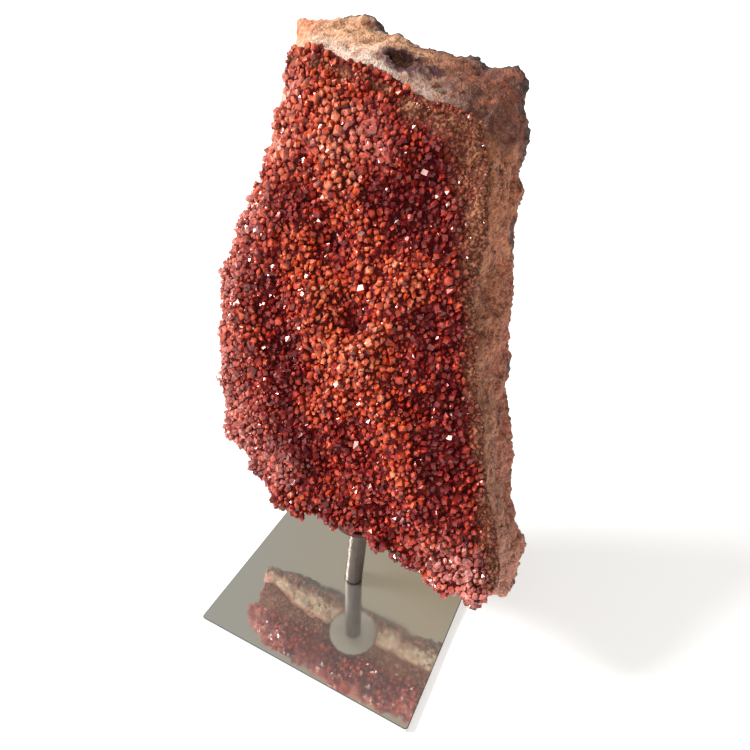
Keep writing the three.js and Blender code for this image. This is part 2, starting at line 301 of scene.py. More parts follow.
rod_low, rod_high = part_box("post")
plate_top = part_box("base_plate")[1].z
disc_low, disc_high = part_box("support_disc")
rod_radius = (rod_high.y - rod_low.y) / 2
rod_foot = Vector((rod_low.x + rod_radius, 0, plate_top))
rod_head = Vector((rod_high.x - rod_radius, 0, disc_low.z))
rod_length = (rod_head - rod_foot).length
weld = [(rod_radius + weld_reach * (1 - math.sin(turn)), weld_height * (1 - math.cos(turn)))
        for turn in weld_turns]
rod = turned("rod", [
    *weld,
    (rod_radius, rod_length - rod_collar),
    (rod_radius, rod_length - rod_chamfer),
    (rod_radius - rod_chamfer, rod_length),
], rod_sides)
lean = Vector((0, 0, 1)).rotation_difference(rod_head - rod_foot).to_matrix().to_4x4()
rod.data.transform(Matrix.Translation(rod_foot) @ lean)

tree, shader, drawn_steel = new_finish("drawn steel")
place = object_place(tree)
lines = use(tree, patches, Place=stretched(tree, place, rod_stretch), Scale=1.0, Detail=3.0,
            Cover=0.5, Softness=0.2)
stains = use(tree, patches, Place=place, Scale=160.0, Detail=5.0, Cover=0.45, Softness=0.15)
ends = use(tree, edge_wear, Start=0.55, End=0.62)
height = add(tree, "ShaderNodeSeparateXYZ", {0: place}).outputs[2]
# The rod and its weld get darker towards the plate.
foot_darkened = rising(tree, height, plate_top + foot_dark_top, plate_top + foot_dark_full)
tone = mixed(tree, lines["Mask"], rod_steel, rod_line)
tone = tinted(tree, tone, stains["Mask"], *rod_stain)
tone = mixed(tree, ends["Mask"], tone, rod_bright)
tone = tinted(tree, tone, foot_darkened, *rod_foot_dark)
feed(tree, shader, Base_Color=tone, Metallic=1.0,
     Roughness=spread(tree, lines["Height"], *rod_roughness),
     Normal=dented(tree, lines["Height"], **rod_dent))
put_on(rod, drawn_steel)
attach(rod, "root")
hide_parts("post")


# Pad: a flat round disc of pale matt metal on top of the rod. The rock's cut seat rests on it. Its
# top and rim are dark wine red, and only its underside shows the bare metal.
disc_metal = (0.44, 0.41, 0.35, 1)
disc_film = (0.36, 0.32, 0.27, 1)
disc_rim = (0.50, 0.47, 0.41, 1)
pad_dark_red = (0.10, 0.02, 0.018, 1)
disc_roughness = (0.45, 0.62)
disc_metallic = 0.3
disc_dent = {"strength": 0.3, "depth": 0.2 * mm}
disc_edge = 0.3 * mm
disc_bevel = 0.3
disc_sides = 96
rod_seat = 1.2 * mm
bare_slope = (-0.8, -0.5)

disc_radius = (disc_high.y - disc_low.y) / 2
disc_height = disc_high.z - disc_low.z
disc_middle = (disc_low + disc_high) / 2
disc = turned("pad", [
    (rod_radius + rod_seat, 0),
    (disc_radius - disc_edge, 0),
    (disc_radius - disc_bevel * disc_edge, disc_bevel * disc_edge),
    (disc_radius, disc_edge),
    (disc_radius, disc_height - disc_edge),
    (disc_radius - disc_edge, disc_height),
], disc_sides)
disc.data.transform(Matrix.Translation((disc_middle.x, disc_middle.y, disc_low.z)))

tree, shader, matt_metal = new_finish("matt metal")
place = object_place(tree)
grain = use(tree, patches, Place=place, Scale=900.0, Detail=3.0, Cover=0.5, Softness=0.2)
film = use(tree, patches, Place=place, Scale=120.0, Detail=4.0, Cover=0.5, Softness=0.2)
rim = use(tree, edge_wear, Start=0.53, End=0.62)
# The pad is dark wine red everywhere but on its underside.
not_underneath = rising(tree, upward(tree), *bare_slope)
tone = mixed(tree, film["Mask"], disc_metal, disc_film)
tone = mixed(tree, rim["Mask"], tone, disc_rim)
tone = mixed(tree, not_underneath, tone, pad_dark_red)
feed(tree, shader, Base_Color=tone, Metallic=disc_metallic,
     Roughness=spread(tree, grain["Height"], *disc_roughness),
     Normal=dented(tree, grain["Height"], **disc_dent))
put_on(disc, matt_metal)
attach(disc, "root")
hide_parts("support_disc")


# Matrix: a slab of host rock broken from the wall of a vein, leaning back 24 degrees. Its layers
# lie along the crystal face: a pale sugary seam behind the crystals, then peach and tan grain
# that weathers brown on the sides, a reddish band, and a dark knobbly skin on the back.
rock_lean = math.radians(24)
rock_foot = Vector((0, -19 * mm, 60.5 * mm))
rock_voxel = 1.0 * mm
rock_smoothing = 5
crumb_corners = 200

# From here on, places and sizes in the rock are in mm, in its own frame: across to the right, into
# the rock from the crystal face, and up along that face.
rock_thickness = 38
top_start = 150
crust_hold = (0.3, 1.8)
pad_hold = (0.6, 3)
back_edge = (rock_thickness - 8, rock_thickness - 2)
back_edge_drift = (4, 9)
top_edge = (top_start, top_start + 8)
top_edge_drift = (3, 12)
swells = [(0.9, 13), (0.7, 6), (0.45, 2.2), (0.25, 1.1)]
chipping = [(0.9, 8), (0.6, 3.6)]
streak_rise = 1.7
streak_stretch = Vector((1, 1.6, 0.35))
fibre_rise = 0.7
fibre_stretch = Vector((0.5, 1.5, 1))
streak_size = 4
sugar_rise = 0.35
knob_rise = 0.8
knob_drift = (0.8, 15)
knob_grain_rise = 0.7
knob_size = 6
grain_size = 2.6
back_calm = 0.3
surface_drop = 0.5

# The layers, as (share of the way from the crystal face to the back, colour).
top_left_layers = [
    (0.0, (0.34, 0.08, 0.05)), (0.07, (0.94, 0.79, 0.68)), (0.20, (0.95, 0.70, 0.54)),
    (0.42, (0.95, 0.52, 0.30)), (0.72, (0.86, 0.44, 0.22)), (0.80, (0.40, 0.22, 0.15)),
    (0.84, (0.07, 0.05, 0.05)),
]
top_right_layers = [
    (0.0, (0.16, 0.03, 0.02)), (0.10, (0.28, 0.14, 0.095)), (0.26, (0.13, 0.04, 0.024)),
    (0.60, (0.24, 0.062, 0.028)), (0.76, (0.20, 0.046, 0.023)), (0.83, (0.11, 0.042, 0.03)),
    (0.88, (0.04, 0.03, 0.03)),
]
side_layers = [
    (0.0, (0.20, 0.04, 0.025)), (0.10, (0.28, 0.07, 0.032)), (0.22, (0.42, 0.155, 0.065)),
    (0.36, (0.34, 0.08, 0.036)), (0.56, (0.50, 0.14, 0.058)), (0.78, (0.46, 0.07, 0.038)),
    (0.88, (0.22, 0.06, 0.04)), (0.93, (0.03, 0.022, 0.022)),
]
foot_layers = [
    (0.0, (0.22, 0.05, 0.05)), (0.10, (0.50, 0.30, 0.24)), (0.22, (1.0, 0.80, 0.62)),
    (0.72, (1.0, 0.82, 0.60)), (0.77, (0.34, 0.19, 0.12)), (0.81, (0.03, 0.022, 0.022)),
]
back_start = (0.87, 0.93)
layer_drift = 5.0
layer_ripple = 4.0
top_drift = 6.0
top_blend = 5
right_half = (-34.0, -2.0)
right_drift = 16.0
left_corner = (-62.0, -77.0)
corner_drift = 14.0
foot_slope = (-0.35, -0.75)
foot_zone = (16.0, 9.0)
low_zone = (85.0, 5.0)
high_zone = (90.0, 135.0)

# Tints, as (share, colour). A share with two values changes over the rock, such as from its side
# to its top.
low_rock = (0.6, (0.84, 0.38, 0.29, 1))
high_rock = (0.55, (0.62, 0.19, 0.08, 1))
rusty = (0.5, (0.52, 0.13, 0.04, 1))
stained = (0.45, (0.22, 0.085, 0.045, 1))
dark_grain = (0.7, (0.05, 0.03, 0.03, 1))
# Painted shade in the creases.
crease_shade = (0.8, (0.10, 0.035, 0.022, 1))
back_rust = (0.6, (0.24, 0.075, 0.035, 1))
sugar_share = (0.12, 0.28)
sugar_colour = (0.86, 0.60, 0.42, 1)
crown_share = (0.14, 0.40)
crown_colour = (0.86, 0.64, 0.46, 1)
right_paleness = (1.0, 0.2)
corner_share = 0.9
corner_colour = (0.80, 0.20, 0.07, 1)
vein_share = (0.1, 1.0)
vein_places = (0.36, 0.62)
vein_colour = (0.12, 0.038, 0.024, 1)
speck_share = (0.4, 0.35)
speck_colour = (0.12, 0.045, 0.028, 1)
fibre_share = 0.55
fibre_colour = (0.72, 0.32, 0.16, 1)
back_dark = (0.035, 0.026, 0.026, 1)
back_grain = (0.13, 0.085, 0.07, 1)
rock_roughness = (0.85, 0.5)
rock_dent = {"strength": 1.0, "depth": 1.2 * mm}
bend_reach = (16, 16, 16)
vein_stretch = (0.5, 1.0, 0.16)
pale_fibre_stretch = (1.0, 1.0, 0.2)

# Dark places, as (place, reach each way, colour): the pit in the top face, darkened with painted
# shade, and the stain beside it, then grain on the top, on its back edge and on the right side.
dark_spots = [
    ((-23, 13.5, 171.5), (12, 6.5, 10), (0.085, 0.016, 0.026, 1)),
    ((-14, 16, 171), (8, 3, 6), (0.09, 0.018, 0.026, 1)),
    ((17, 24, 158), (5, 6, 6), (0.06, 0.025, 0.022, 1)),
    ((-47, 34, 195), (15, 6, 5), (0.07, 0.055, 0.055, 1)),
    ((8, 34, 185), (15, 5, 5), (0.08, 0.06, 0.06, 1)),
    ((47, 24, 62), (4, 3, 9), (0.17, 0.055, 0.035, 1)),
    ((30, 27, 126), (5, 3, 7), (0.12, 0.045, 0.035, 1)),
]
spot_share = 0.95
spot_edge = (1.15, 0.75)
spot_drift = 0.4

rock_frame = Matrix.Translation(rock_foot) @ Matrix.Rotation(-rock_lean, 4, "X")
into_rock = rock_frame.inverted()


def whole(mesh):
    """The mesh without the loose crumbs that the even meshing leaves beside its main body."""
    work = bmesh.new()
    work.from_mesh(mesh)
    seen, crumbs = set(), []
    for start in work.verts:
        if start in seen:
            continue
        body, edge = {start}, [start]
        while edge:
            corner = edge.pop()
            for link in corner.link_edges:
                other = link.other_vert(corner)
                if other not in body:
                    body.add(other)
                    edge.append(other)
        seen |= body
        if len(body) < crumb_corners:
            crumbs.extend(body)
    bmesh.ops.delete(work, geom=crumbs, context="VERTS")
    work.to_mesh(mesh)
    work.free()
    return mesh


def resurfaced(node, name, voxel, smoothing):
    """An evenly and finely meshed copy of a node's solid, with its facets smoothed out."""
    piece = placed(name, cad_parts[node].data.copy())
    even = piece.modifiers.new("even", "REMESH")
    even.mode = "VOXEL"
    even.voxel_size = voxel
    even.use_smooth_shade = True
    smooth = piece.modifiers.new("smooth", "SMOOTH")
    smooth.iterations = smoothing
    graph = bpy.context.evaluated_depsgraph_get()
    shape = bpy.data.meshes.new_from_object(piece.evaluated_get(graph))
    piece.modifiers.clear()
    piece.data = whole(shape)
    return piece


def surface_of(piece):
    """A search tree over a piece's faces."""
    return BVHTree.FromPolygons(
        [v.co.copy() for v in piece.data.vertices],
        [tuple(p.vertices) for p in piece.data.polygons],
    )


def points_of(mesh, what):
    """The coordinates or normals of a mesh's vertices, one row each."""
    values = np.zeros(len(mesh.vertices) * 3)
    mesh.vertices.foreach_get(what, values)
    return values.reshape(-1, 3)


def move_points(mesh, points):
    """Gives a mesh's vertices new places."""
    mesh.vertices.foreach_set("co", points.ravel())
    mesh.update()


def eased(value, start, end):
    """0 before start, 1 after end, and a soft step between them."""
    share = min(1.0, max(0.0, (value - start) / (end - start)))
    return share * share * (3 - 2 * share)


def rolling(point, rise, size):
    """Soft swells of about that size that rise and fall by that much."""
    return rise * noise.noise(point / size)


def grains(point, size):
    """Rounded grains of about that size, 0 in the joints and 1 on the crowns."""
    near, _ = noise.voronoi(point / size)
    return min(1.0, (near[1] - near[0]) * 2.0)


def chips(point, size):
    """Flat faces of broken rock of about that size, tilted each its own way."""
    _, centres = noise.voronoi(point / size)
    tilt = 2 * noise.cell_vector(centres[0] * 7.3) - Vector((1, 1, 1))
    return (point / size - centres[0]).dot(tilt)


def broken_height(place):
    """How far the rock's surface stands out at a place in the rock."""
    _, depth, up = place
    back = eased(depth + rolling(place, *back_edge_drift), *back_edge)
    top = eased(up + rolling(place, *top_edge_drift), *top_edge)
    height = sum(rolling(place, rise, size) for rise, size in swells)
    height += sum(rise * chips(place, size) for rise, size in chipping)
    streaks = noise.turbulence(place * streak_stretch / streak_size, 4, True)
    height += (1 - top) * (1 - back) * streak_rise * streaks
    height += top * fibre_rise * noise.turbulence(place * fibre_stretch / streak_size, 3, True)
    height += sugar_rise * grains(place, grain_size) * (1 - back)
    knobs = (knob_rise + rolling(place, *knob_drift)) * grains(place, knob_size)
    knobs += knob_grain_rise * grains(place, grain_size)
    return height * (1 - back_calm * back) + knobs * back - surface_drop


matrix = resurfaced("matrix", "rock", rock_voxel, rock_smoothing)
crust_surface = surface_of(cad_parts["crystal_crust"])
disc_surface = surface_of(disc)
skin = points_of(matrix.data, "co")
outward = points_of(matrix.data, "normal")
for k, point in enumerate(skin):
    spot = Vector(point)
    crust_gap = crust_surface.find_nearest(spot)[3] / mm
    disc_gap = disc_surface.find_nearest(spot)[3] / mm
    free = eased(crust_gap, *crust_hold) * eased(disc_gap, *pad_hold)
    if free > 0:
        skin[k] += outward[k] * broken_height((into_rock @ spot) / mm) * free * mm
move_points(matrix.data, skin)

# The rock's own frame, for the finishes.
rock_place, _, result = new_group("rock_place", [], [
    ("Place", "NodeSocketVector"), ("Across", "NodeSocketFloat"),
    ("Depth", "NodeSocketFloat"), ("Up", "NodeSocketFloat"),
])
in_rock = add(rock_place, "ShaderNodeMapping", {
    "Vector": object_place(rock_place),
    "Location": rock_foot, "Rotation": (-rock_lean, 0, 0), "Scale": (mm, mm, mm),
}, vector_type="TEXTURE").outputs[0]
join(rock_place, result.inputs["Place"], in_rock)
parts = add(rock_place, "ShaderNodeSeparateXYZ", {0: in_rock}).outputs
for part, label in zip(parts, ("Across", "Depth", "Up")):
    join(rock_place, result.inputs[label], part)


def shifted(tree, value, drift, size):
    """A value moved up or down by a drifting noise, by as much as that size."""
    return maths(tree, "ADD", value, spread(tree, drift, -size, size))


tree, shader, rock_finish = new_finish("matrix rock")
place = use(tree, rock_place)
here, up = place["Place"], place["Up"]
wander = use(tree, patches, Place=here, Scale=0.11, Detail=5.0)["Height"]
ripple = use(tree, patches, Place=here, Scale=0.45, Detail=5.0)["Height"]
depth = shifted(tree, shifted(tree, place["Depth"], wander, layer_drift), ripple, layer_ripple)
layer = rising(tree, depth, 0.0, rock_thickness)
top = rising(tree, shifted(tree, up, wander, top_drift), top_start, top_start + top_blend)
side = maths(tree, "SUBTRACT", 1.0, top)
rightward = rising(tree, shifted(tree, place["Across"], wander, right_drift), *right_half)
leftmost = rising(tree, shifted(tree, place["Across"], ripple, corner_drift), *left_corner)
foot = maths(tree, "MULTIPLY", rising(tree, upward(tree), *foot_slope),
             rising(tree, up, *foot_zone))

on_top = mixed(tree, rightward, ramp(tree, layer, top_left_layers),
               ramp(tree, layer, top_right_layers))
on_side = ramp(tree, layer, side_layers)
on_side = tinted(tree, on_side, rising(tree, up, *low_zone), *low_rock)
on_side = tinted(tree, on_side, rising(tree, up, *high_zone), *high_rock)
tone = mixed(tree, top, on_side, on_top)
tone = mixed(tree, foot, tone, ramp(tree, layer, foot_layers))

# Rust, stains, pale sugary grain and dark grain. The right half of the top keeps little that is
# pale, and the left corner of the top is orange.
rust = use(tree, patches, Place=here, Scale=0.28, Detail=5.0, Cover=0.42, Softness=0.06)
stain = use(tree, patches, Place=here, Scale=0.16, Detail=6.0, Cover=0.44, Softness=0.05)
sugar = use(tree, patches, Place=here, Scale=0.9, Detail=4.0, Cover=0.42, Softness=0.05)
dark = use(tree, patches, Place=here, Scale=0.30, Detail=6.0, Cover=0.36, Softness=0.05)
paleness = spread(tree, maths(tree, "MULTIPLY", rightward, top), *right_paleness)
sugared = maths(tree, "MULTIPLY", sugar["Mask"], spread(tree, top, *sugar_share))
cornered = maths(tree, "MULTIPLY", leftmost, top)
tone = tinted(tree, tone, rust["Mask"], *rusty)
tone = tinted(tree, tone, stain["Mask"], *stained)
tone = tinted(tree, tone, sugared, paleness, sugar_colour)
tone = tinted(tree, tone, dark["Mask"], *dark_grain)
tone = tinted(tree, tone, cornered, corner_share, corner_colour)

# Rubbed crowns and creases darkened with painted shade, dark veins and specks, and pale fibres that
# bend up the sides.
crowns = use(tree, edge_wear, Start=0.50, End=0.60)
crowned = maths(tree, "MULTIPLY", crowns["Mask"], spread(tree, top, *crown_share))
creases = use(tree, edge_wear, Start=0.49, End=0.42)
bend = add(tree, "ShaderNodeTexNoise", {"Vector": here, "Scale": 0.09, "Detail": 3.0}).outputs[1]
bend = add(tree, "ShaderNodeVectorMath", {0: bend, 1: bend_reach}, operation="MULTIPLY")
bent = add(tree, "ShaderNodeVectorMath", {0: here, 1: bend.outputs[0]}, operation="ADD").outputs[0]
vein = use(tree, patches, Place=stretched(tree, bent, vein_stretch), Scale=0.9, Detail=6.0,
           Cover=0.44, Softness=0.05)
fibre = use(tree, patches, Place=stretched(tree, bent, pale_fibre_stretch), Scale=0.8,
            Detail=6.0, Cover=0.46, Softness=0.05)
speck = use(tree, patches, Place=here, Scale=1.5, Detail=4.0, Cover=0.42, Softness=0.10)
veined = maths(tree, "MULTIPLY", side, spread(tree, wander, *vein_share, *vein_places))
tone = tinted(tree, tone, crowned, paleness, crown_colour)
tone = tinted(tree, tone, creases["Mask"], *crease_shade)
tone = tinted(tree, tone, vein["Mask"], veined, vein_colour)
tone = tinted(tree, tone, speck["Mask"], spread(tree, top, *speck_share), speck_colour)
tone = tinted(tree, tone, fibre["Mask"], maths(tree, "MULTIPLY", side, fibre_share), fibre_colour)

for spot, reach, colour in dark_spots:
    away = add(tree, "ShaderNodeMapping", {
        "Vector": here, "Location": spot, "Scale": reach,
    }, vector_type="TEXTURE").outputs[0]
    away = add(tree, "ShaderNodeVectorMath", {0: away}, operation="LENGTH").outputs["Value"]
    spotted = rising(tree, shifted(tree, away, ripple, spot_drift), *spot_edge)
    tone = tinted(tree, tone, spotted, spot_share, colour)

skin_grain = use(tree, patches, Place=here, Scale=0.7, Detail=6.0, Cover=0.45, Softness=0.08)
skin_stain = use(tree, patches, Place=here, Scale=0.10, Detail=5.0, Cover=0.40, Softness=0.08)
back_skin = mixed(tree, skin_grain["Mask"], back_dark, back_grain)
back_skin = tinted(tree, back_skin, skin_stain["Mask"], *back_rust)
tone = mixed(tree, rising(tree, layer, *back_start), tone, back_skin)
fine = add(tree, "ShaderNodeTexNoise", {"Vector": here, "Scale": 1.1, "Detail": 7.0}).outputs[0]
feed(tree, shader, Base_Color=tone, Roughness=spread(tree, sugar["Height"], *rock_roughness),
     Normal=dented(tree, fine, **rock_dent))
put_on(matrix, rock_finish)
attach(matrix, "root")
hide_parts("matrix")


# Crystal bed: the massive root of the crust, grown onto the rock's face and under its lower front
# edge. Dark wine red, it shows only in the gaps between the crystals, and as grit along the rims.
bed_dark = (0.07, 0.004, 0.006, 1)
bed_wine = (0.20, 0.018, 0.012, 1)
bed_crease_shade = (0.03, 0.008, 0.01, 1)
grit_dark = (0.10, 0.03, 0.018, 1)
grit_tan = (0.40, 0.17, 0.085, 1)
bed_roughness = 0.85
bed_specular = 0.15
bed_dent = {"strength": 0.8, "depth": 0.8 * mm}
bed_voxel = 1.1 * mm
bed_smoothing = 14

# The rims where the crystals stay small, as (across, up) points, and how wide they are.
right_rim = [(64, 3), (54, 30), (37.5, 69), (27, 102), (20.5, 134), (10.5, 155)]
top_rim = [(-64, 167), (-27, 163.5), (-14, 158), (10.5, 155)]
foot_rim = (10, 15)
right_width = 6
corner_width = 8
corner_zone = (95, 150)
top_width = 2
top_right_width = 7
top_right_zone = (-25, 0)
rim_drift = (3.5, 7)

# The crust swells out at its lower left and lies flatter at its upper left: ((across, up) of the
# middle, the square of its reach, how far out).
left_swells = [((-60, 17), 130, 5.2), ((-65, 148), 200, -3.0)]


def line_gap(across, up, line):
    """The shortest way from a place on the face to a line of points on it."""
    best = math.inf
    for (ax, ay), (bx, by) in zip(line, line[1:]):
        length = (bx - ax) ** 2 + (by - ay) ** 2
        share = min(1, max(0, ((across - ax) * (bx - ax) + (up - ay) * (by - ay)) / length))
        best = min(best, math.hypot(across - ax - share * (bx - ax), up - ay - share * (by - ay)))
    return best


def stunting(across, depth, up):
    """How small and rock-coloured the crystals stay along the crust's right, upper and lower
    back rims: 0 nowhere near a rim, 1 at it."""
    drift = rolling(Vector((across, depth, up)), *rim_drift)
    right_reach = right_width + corner_width * eased(up, *corner_zone)
    top_reach = top_width + top_right_width * eased(across, *top_right_zone)
    right = 1 - eased(line_gap(across, up, right_rim) + drift, 1, right_reach)
    top = 1 - eased(line_gap(across, up, top_rim) + drift, 0, top_reach)
    foot = eased(depth + drift, *foot_rim)
    return max(right, top, foot)


bed = resurfaced("crystal_crust", "crystal_bed", bed_voxel, bed_smoothing)
bed_skin = points_of(bed.data, "co")
bed_places = [(into_rock @ Vector(point)) / mm for point in bed_skin]
for k, (across, _, up) in enumerate(bed_places):
    if across < 0:
        bed_skin[k][0] -= mm * sum(
            out * math.exp(-((across - x) ** 2 + (up - y) ** 2) / reach_squared)
            for (x, y), reach_squared, out in left_swells)
move_points(bed.data, bed_skin)
bed.data.attributes.new("stunted", "FLOAT", "POINT").data.foreach_set(
    "value", [stunting(*place) for place in bed_places])


def painted(tree, label):
    """A value that the mesh carries."""
    return add(tree, "ShaderNodeAttribute", attribute_name=label).outputs["Fac"]


tree, shader, bed_finish = new_finish("crystal bed")
here = use(tree, rock_place)["Place"]
fleck = use(tree, patches, Place=here, Scale=0.8, Detail=4.0, Cover=0.45, Softness=0.08)
creases = use(tree, edge_wear, Start=0.5, End=0.44)
tone = mixed(tree, fleck["Mask"], bed_dark, bed_wine)
# The creases of the bed are darker: painted shade.
tone = mixed(tree, creases["Mask"], tone, bed_crease_shade)
grit = mixed(tree, fleck["Mask"], grit_dark, grit_tan)
tone = mixed(tree, painted(tree, "stunted"), tone, grit)
feed(tree, shader, Base_Color=tone, Specular_IOR_Level=bed_specular, Roughness=bed_roughness,
     Normal=dented(tree, fleck["Height"], **bed_dent))
put_on(bed, bed_finish)
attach(bed, "root")
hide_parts("crystal_crust")


# Crystals: thousands of short six-sided points that grew side by side out of the bed, the largest
# about 4.5 mm across, with smaller ones in the gaps. Glassy flat faces, orange-red on the ridges,
# wine red in the hollows and along the lower edge, and dusty salmon near the top. The ridges are
# lighter with painted light, and the hollows and the roots are darker with painted shade. Along the
# left edge the dusty salmon is partly painted sheen.
crystal_grades = [
    {"tries": 200, "radius": (1.9, 2.3), "gap": 0.78},
    {"tries": 20000, "radius": (1.25, 1.8), "gap": 0.66},
    {"tries": 26000, "radius": (0.8, 1.2), "gap": 0.66},
    {"tries": 30000, "radius": (0.5, 0.8), "gap": 0.70},
]
fine_size = 0.8
seat_cell = 5.2 * mm
outer_gap = 1.5 * mm
stunted_loss = 0.5
stunted_shrink = 0.55

# One crystal. Shares are of its radius.
prism_share = (0.35, 1.0)
point_share = (0.55, 1.0)
reach_share = (0.80, 1.16)
ledge_share = (0.05, 0.42)
step_play = 0.1
turn_play = 0.09
flat_ended = 0.4
flat_end = (0.25, 0.62)
flat_slope = 0.12
tip_play = 0.25
crystal_squash = (0.62, 1.0)
crystal_tilt = 0.85
crystal_lean_limit = 0.5
crystal_root = 0.9 * mm
crystal_sink = 1.1 * mm

# Where the face is bright, dark or dusty: (across, up) places on it, and reaches. How much each
# of them counts for the crystals' warmth and light, and how much colder they are low on the face.
# The bright ridges carry painted light and the dark hollows painted shade, over the crystals' own
# orange and wine red.
bright_ridges = [
    [(-38, 147), (-29, 130), (-14, 103)],
    [(-40, 102), (-29, 86), (-20, 69)],
    [(3, 103), (-6, 72), (-15, 50)],
    [(-6, 71), (5, 57), (15, 46)],
    [(19, 36), (36, 15)],
    [(-60, 162), (-56, 134)],
    [(-46, 160), (-34, 150)],
]
ridge_reach = 8
dark_hollows = [
    ((8, 138), 15), ((21, 122), 14), ((-9, 126), 9), ((-24, 108), 8), ((-12, 80), 8), ((20, 86), 11),
    ((31, 60), 11), ((34, 38), 9), ((-50, 84), 7), ((-38, 62), 8), ((-27, 28), 8), ((32, 18), 7),
    ((-44, 118), 6), ((-2, 118), 7),
]
# Dusty places. The places along the left edge stand partly for dust and partly for painted sheen,
# the pale haze of the light on that edge.
dust_and_sheen_places = [
    ((-27, 146), 8), ((-18, 141), 4), ((-66, 112), 8), ((-72, 84), 8), ((-68, 50), 9),
    ((-52, 18), 12), ((-30, 12), 8), ((58, 0), 10), ((-60, 160), 7), ((-64, 138), 12),
    ((-72, 98), 11), ((-72, 68), 11), ((-64, 34), 12), ((46, 4), 10),
]
ridge_light = 0.9
hollow_shade = 1.25
warmth_and_light_drift = (0.6, 14)
low_cold = 0.45
low_face = (30, 95)
warmth_and_light_limits = (-1.2, 1.0)
dust_and_sheen_share = 0.7
dust_and_sheen_drift = (0.6, 4)

# A crystal's shade runs from wine red to the pale orange of a thin lit edge. Its own tone, the
# warmth and painted light of its place, its faces and the clouds and clusters in the crust each add
# to it.
crystal_reds = [
    (0.0, (0.09, 0.004, 0.006)), (0.22, (0.22, 0.010, 0.011)), (0.42, (0.48, 0.034, 0.017)),
    (0.62, (0.70, 0.080, 0.023)), (0.84, (0.84, 0.165, 0.050)), (1.0, (0.92, 0.33, 0.19)),
]
tone_shade = (0.0, 0.30)
warmth_shade = (-0.08, 0.54)
facet_shade = (-0.26, 0.30)
cloud_shade = (-0.2, 0.34)
cluster_shade = (-0.36, 0.40)
# Small and sunk crystals get a darker tone: painted shade, as they sit down in the gaps.
small_lit = 0.4
lit_sizes = (0.6, 1.3)
sunk_shade = 0.7
# Darker roots: painted shade where the crystals meet. Where dust lies, the roots are pale instead.
root_share = (0.95, 0.0)
root_span = (0.20, 0.88)
root_shade_red = (0.08, 0.005, 0.006, 1)
root_dust = (0.74, 0.33, 0.29, 1)
dust_and_sheen_patches = (0.35, 1.0)
dust_and_sheen_film = (0.36, (1.0, 0.47, 0.38, 1))
rim_share = (0.4, 1.1)
rim_patches = (0.3, 0.6)
rim_dark = (0.20, 0.04, 0.02, 1)
rim_tan = (0.42, 0.17, 0.08, 1)
crystal_roughness = (0.05, 0.30)
crystal_dent = {"strength": 0.12, "depth": 0.3 * mm}
crystal_ior = 1.65
crystal_sheen = (1.0, 0.66, 0.60, 1)
draw = random.Random(7)


def nearness(across, up, places):
    """How near a place on the face is to the middle of any of these places, added up."""
    return sum(math.exp(-((across - x) ** 2 + (up - y) ** 2) / reach ** 2)
               for (x, y), reach in places)


def warmth_and_light(across, up):
    """How orange and how lit the crystals are at a place on the face, from dark wine red at the
    lower
    limit: painted light on the ridges and painted shade in the hollows.
    """
    ridge = sum(math.exp(-(line_gap(across, up, line) / ridge_reach) ** 2)
                for line in bright_ridges)
    warm = ridge_light * ridge - hollow_shade * nearness(across, up, dark_hollows)
    warm += rolling(Vector((across, up, 0)), *warmth_and_light_drift)
    warm -= low_cold * (1 - eased(up, *low_face))
    return max(warmth_and_light_limits[0], min(warmth_and_light_limits[1], warm))


def dust_and_sheen_at(across, up):
    """How much pale dust lies between the crystals at a place on the face. Along the left edge it is
    partly painted sheen.
    """
    drift = rolling(Vector((across, up, 5)), *dust_and_sheen_drift)
    return min(1.0, nearness(across, up, dust_and_sheen_places) * (dust_and_sheen_share + drift))


def scattered(surface, grades, rock_surface):
    """Crystal seats spread over the bed's outer side: (point, normal, radius)."""
    mesh = surface.data
    mesh.calc_loop_triangles()
    corners = points_of(mesh, "co")
    normals = points_of(mesh, "normal")
    triangles = np.zeros(len(mesh.loop_triangles) * 3, dtype=np.int32)
    mesh.loop_triangles.foreach_get("vertices", triangles)
    triangles = triangles.reshape(-1, 3)
    a, b, c = (corners[triangles[:, k]] for k in range(3))
    area = np.linalg.norm(np.cross(b - a, c - a), axis=1)
    rng = np.random.default_rng(11)
    taken = {}
    seats = []
    for grade in grades:
        chosen = rng.choice(len(triangles), grade["tries"], p=area / area.sum())
        s, t = rng.random((2, grade["tries"]))
        over = s + t > 1
        s[over], t[over] = 1 - s[over], 1 - t[over]
        points = a[chosen] + s[:, None] * (b - a)[chosen] + t[:, None] * (c - a)[chosen]
        outward = normals[triangles[chosen]].mean(axis=1)
        sizes = rng.uniform(*grade["radius"], grade["tries"]) * mm
        for point, normal, size in zip(points, outward, sizes):
            stunted = stunting(*((into_rock @ Vector(point)) / mm))
            if rng.random() < stunted_loss * stunted:
                continue
            size *= 1 - stunted_shrink * stunted
            key = tuple((point // seat_cell).astype(int))
            near = [
                other
                for i in (-1, 0, 1) for j in (-1, 0, 1) for k in (-1, 0, 1)
                for other in taken.get((key[0] + i, key[1] + j, key[2] + k), ())
            ]
            if any((point[0] - q[0]) ** 2 + (point[1] - q[1]) ** 2 + (point[2] - q[2]) ** 2
                   < ((size + r) * grade["gap"]) ** 2 for q, r in near):
                continue
            if rock_surface.find_nearest(Vector(point))[3] < outer_gap:
                continue
            taken.setdefault(key, []).append((point, size))
            seats.append((point, normal, size))
    return seats


